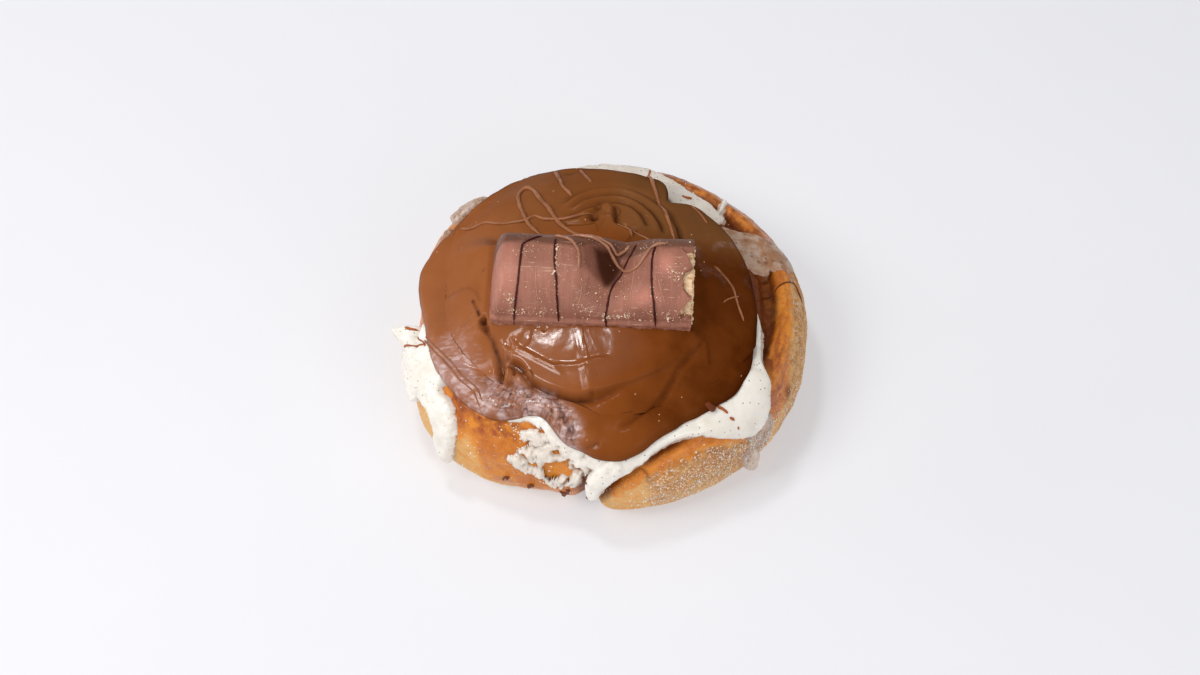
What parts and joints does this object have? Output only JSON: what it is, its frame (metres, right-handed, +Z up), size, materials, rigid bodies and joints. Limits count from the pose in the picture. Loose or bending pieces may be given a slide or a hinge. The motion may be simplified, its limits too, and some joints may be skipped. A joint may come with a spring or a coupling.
{
  "type": "cinnamon roll",
  "caption": "Round rolled sweet bun with white icing, a poured chocolate cap, chocolate threads and a piece of chocolate-coated wafer bar on top.",
  "frame": {"origin": "on the table, under the middle of the roll", "axes": "+Z up out of the flat base, +X to the right and -Y to the front as seen in the picture"},
  "size_m": [0.1087, 0.1076, 0.0595],
  "materials": {
    "dough": "baked enriched dough, orange-brown crust and paler tan sides",
    "icing": "soft white icing with fine dark specks, slight sheen",
    "chocolate": "set milk chocolate spread, satin to glossy",
    "bar_chocolate": "milk chocolate shell, satin with a light bloom and scuffs",
    "wafer": "crisp pale wafer, dry and crumbly"
  },
  "bodies": {
    "root": {"bun": "dough", "icing": "icing", "chocolate": "chocolate", "bar_coating": "bar_chocolate", "bar_wafer": "wafer"}
  },
  "joints": []
}
